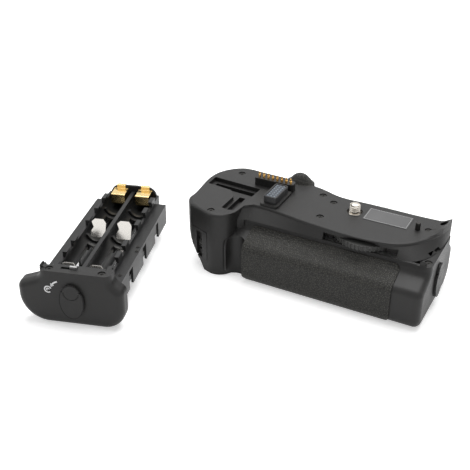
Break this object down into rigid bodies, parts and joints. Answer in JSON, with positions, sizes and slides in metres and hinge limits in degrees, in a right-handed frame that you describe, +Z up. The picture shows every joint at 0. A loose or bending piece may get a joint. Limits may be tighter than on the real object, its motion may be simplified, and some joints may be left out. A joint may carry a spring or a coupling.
{
  "type": "camera battery grip",
  "caption": "Vertical battery grip for a camera, with a sliding battery holder inside and a separate cell magazine standing beside it.",
  "frame": {"origin": "the mouth of the tripod socket in the base, straight below the mounting screw", "axes": "+Z up to the camera, +X towards the battery cap, +Y towards the back of the camera"},
  "size_m": [0.2249, 0.1581, 0.0505],
  "materials": {
    "shell_plastic": "fine-grained moulded plastic",
    "frame_plastic": "smooth moulded plastic",
    "grip_rubber": "leather-grained rubber",
    "dial_rubber": "ribbed rubber",
    "cap_rubber": "soft moulded rubber",
    "steel": "brushed",
    "nickel": "nickel plated",
    "gold": "gold plated",
    "black_screws": "black oxide",
    "label": "satin foil",
    "board": "solder mask"
  },
  "bodies": {
    "root": {"upper_shell": "shell_plastic", "lower_shell": "shell_plastic", "mechanism_plate": "steel", "wheel_axle": "steel", "contact_block": "shell_plastic", "connector_plinth": "shell_plastic", "guide_pin": "black_screws", "label_plate": "label", "top_screws": "black_screws", "base_screws": "black_screws", "front_rubber_grip": "grip_rubber", "thumb_rest": "grip_rubber", "base_pad": "grip_rubber", "tripod_socket": "steel", "dial_window_frame": "shell_plastic", "sub_dial_axle": "steel", "main_dial_axle": "steel", "circuit_board": "board", "chamber_contact_block": "frame_plastic", "chamber_blades": "gold", "shutter_spring": "steel"},
    "wheel": {"attachment_wheel": "dial_rubber"},
    "mounting_screw": {"tripod_screw": "nickel"},
    "pins": {"contact_pins": "gold"},
    "connector_cap": {"connector_cap": "cap_rubber"},
    "sub_dial": {"sub_command_dial": "dial_rubber"},
    "main_dial": {"main_command_dial": "dial_rubber"},
    "shutter": {"shutter_button": "shell_plastic"},
    "collar": {"lock_collar": "shell_plastic"},
    "focus_button": {"af_button": "shell_plastic"},
    "gimbal": {"selector_gimbal": "frame_plastic"},
    "selector": {"selector_pad": "grip_rubber"},
    "holder": {"holder_tray": "frame_plastic", "holder_terminals": "gold", "holder_cap": "shell_plastic", "holder_cap_screws": "black_screws"},
    "holder_spindle": {"holder_latch_spindle": "shell_plastic", "holder_latch_pin": "steel"},
    "holder_flap": {"holder_latch_flap": "shell_plastic"},
    "holder_bolt": {"holder_latch_bolt": "steel"},
    "magazine": {"magazine_frame": "frame_plastic", "magazine_frame_screws": "black_screws", "magazine_gold_contacts": "gold", "magazine_silver_contacts": "nickel", "magazine_cap": "shell_plastic", "magazine_cap_screws": "black_screws"},
    "magazine_spindle": {"magazine_latch_spindle": "shell_plastic", "magazine_latch_pin": "steel"},
    "magazine_flap": {"magazine_latch_flap": "shell_plastic"},
    "magazine_bolt": {"magazine_latch_bolt": "steel"}
  },
  "joints": [
    {"name": "wheel_turn", "type": "hinge", "parent": "root", "child": "wheel", "pos_m": [0.012, -0.009, 0.0353], "axis": [0, 0, 1], "continuous": true},
    {"name": "screw_turn", "type": "hinge", "parent": "root", "child": "mounting_screw", "pos_m": [0, 0, 0.0388], "axis": [0, 0, 1], "continuous": true},
    {"name": "pins_press", "type": "slide", "parent": "root", "child": "pins", "axis": [0, 0, -1], "range_m": [0, 0.002], "stiffness_N_per_m": 600},
    {"name": "connector_cap_lift", "type": "slide", "parent": "root", "child": "connector_cap", "axis": [0, 0, 1], "range_m": [0, 0.02]},
    {"name": "sub_dial_turn", "type": "hinge", "parent": "root", "child": "sub_dial", "pos_m": [-0.08077, -0.03123, 0.017], "axis": [0.9379, -0.347, 0], "continuous": true},
    {"name": "main_dial_turn", "type": "hinge", "parent": "root", "child": "main_dial", "pos_m": [-0.079, 0.0134, 0.021], "axis": [1, 0, 0], "continuous": true},
    {"name": "shutter_press", "type": "slide", "parent": "root", "child": "shutter", "axis": [0.8462, 0, 0.5328], "range_m": [0, 0.0012], "stiffness_N_per_m": 700},
    {"name": "lock_turn", "type": "hinge", "parent": "root", "child": "collar", "pos_m": [-0.0887, -0.012, 0.0135], "axis": [-0.8462, 0, -0.5328], "range_deg": [0, 35]},
    {"name": "focus_press", "type": "slide", "parent": "root", "child": "focus_button", "axis": [0, -1, 0], "range_m": [0, 0.0008], "stiffness_N_per_m": 700},
    {"name": "selector_tilt_up", "type": "hinge", "parent": "root", "child": "gimbal", "pos_m": [-0.022, 0.0174, 0.0155], "axis": [1, 0, 0], "range_deg": [-5, 5], "stiffness_Nm_per_rad": 0.02},
    {"name": "selector_tilt_side", "type": "hinge", "parent": "gimbal", "child": "selector", "pos_m": [-0.022, 0.0174, 0.0155], "axis": [0, 0, 1], "range_deg": [-5, 5], "stiffness_Nm_per_rad": 0.02},
    {"name": "holder_slide", "type": "slide", "parent": "root", "child": "holder", "axis": [1, 0, 0], "range_m": [0, 0.11]},
    {"name": "magazine_lift", "type": "slide", "parent": "root", "child": "magazine", "axis": [0, 0, 1], "range_m": [0, 0.1]},
    {"name": "holder_latch_turn", "type": "hinge", "parent": "holder", "child": "holder_spindle", "pos_m": [0.0557, -0.009, 0.0227], "axis": [1, 0, 0], "range_deg": [0, 90]},
    {"name": "holder_flap_fold", "type": "hinge", "parent": "holder_spindle", "child": "holder_flap", "pos_m": [0.0566, -0.009, 0.0227], "axis": [0, -1, 0], "range_deg": [0, 90]},
    {"name": "holder_bolt_slide", "type": "slide", "parent": "holder", "child": "holder_bolt", "axis": [0, -1, 0], "range_m": [0, 0.005]},
    {"name": "magazine_latch_turn", "type": "hinge", "parent": "magazine", "child": "magazine_spindle", "pos_m": [-0.11628, -0.12369, 0.02304], "axis": [0.2905, -0.956, 0.0407], "range_deg": [0, 90]},
    {"name": "magazine_flap_fold", "type": "hinge", "parent": "magazine_spindle", "child": "magazine_flap", "pos_m": [-0.11602, -0.12455, 0.02307], "axis": [-0.9568, -0.2907, 0], "range_deg": [0, 90]},
    {"name": "magazine_bolt_slide", "type": "slide", "parent": "magazine", "child": "magazine_bolt", "axis": [-0.9568, -0.2907, 0], "range_m": [0, 0.005]}
  ],
  "couplings": [
    {"joint": "screw_turn", "follows": "wheel_turn", "ratio": -1.7273},
    {"joint": "holder_bolt_slide", "follows": "holder_latch_turn", "m_per_rad": 0.003183},
    {"joint": "magazine_bolt_slide", "follows": "magazine_latch_turn", "m_per_rad": 0.003183}
  ]
}
